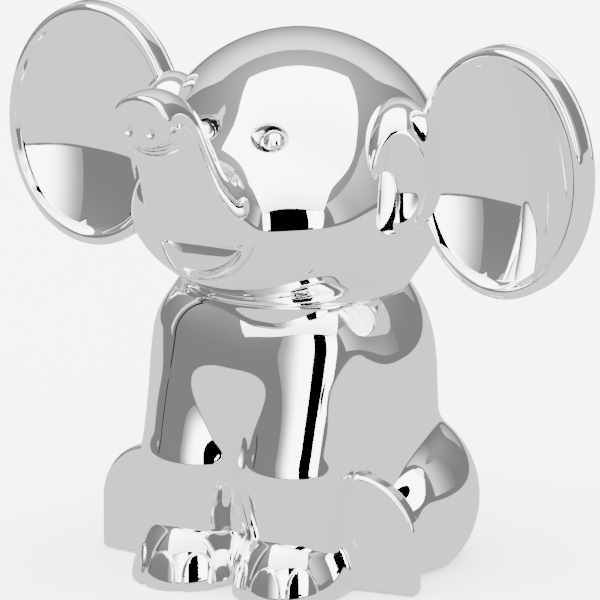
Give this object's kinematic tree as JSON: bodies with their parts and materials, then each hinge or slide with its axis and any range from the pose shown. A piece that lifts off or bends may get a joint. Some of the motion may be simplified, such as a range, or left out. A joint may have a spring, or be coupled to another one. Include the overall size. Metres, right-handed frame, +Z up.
{
  "type": "figural coin bank",
  "caption": "Mirror-plated money box shaped as a sitting elephant with raised trunk, round dish ears, coin slot in the back and pull-out stopper.",
  "frame": {"origin": "centre of the bounding box's footprint, on the table", "axes": "+Z up; the elephant looks along -Y; +X is its left side, through the ears"},
  "size_m": [0.1474, 0.1085, 0.124],
  "materials": {
    "silver_plate": "mirror-polished silver plating on zinc casting",
    "zinc_steel": "zinc-plated steel",
    "pressed_steel": "satin nickel-plated steel disc",
    "felt": "black pressed felt",
    "black_rubber": "soft black moulded rubber"
  },
  "bodies": {
    "bank": {"body_shell": "silver_plate", "head_shell": "silver_plate", "left_ear_dish": "silver_plate", "left_ear_back": "silver_plate", "right_ear_dish": "silver_plate", "right_ear_back": "silver_plate", "ear_nuts": "zinc_steel", "ear_washers": "zinc_steel", "neck_screws": "zinc_steel", "neck_washers": "zinc_steel", "base_plate": "pressed_steel", "base_screws": "zinc_steel", "felt_pad": "felt"},
    "stopper": {"stopper": "black_rubber"}
  },
  "joints": [
    {"name": "stopper_pull", "type": "slide", "parent": "bank", "child": "stopper", "axis": [0, 0, -1], "range_m": [0, 0.02]}
  ]
}
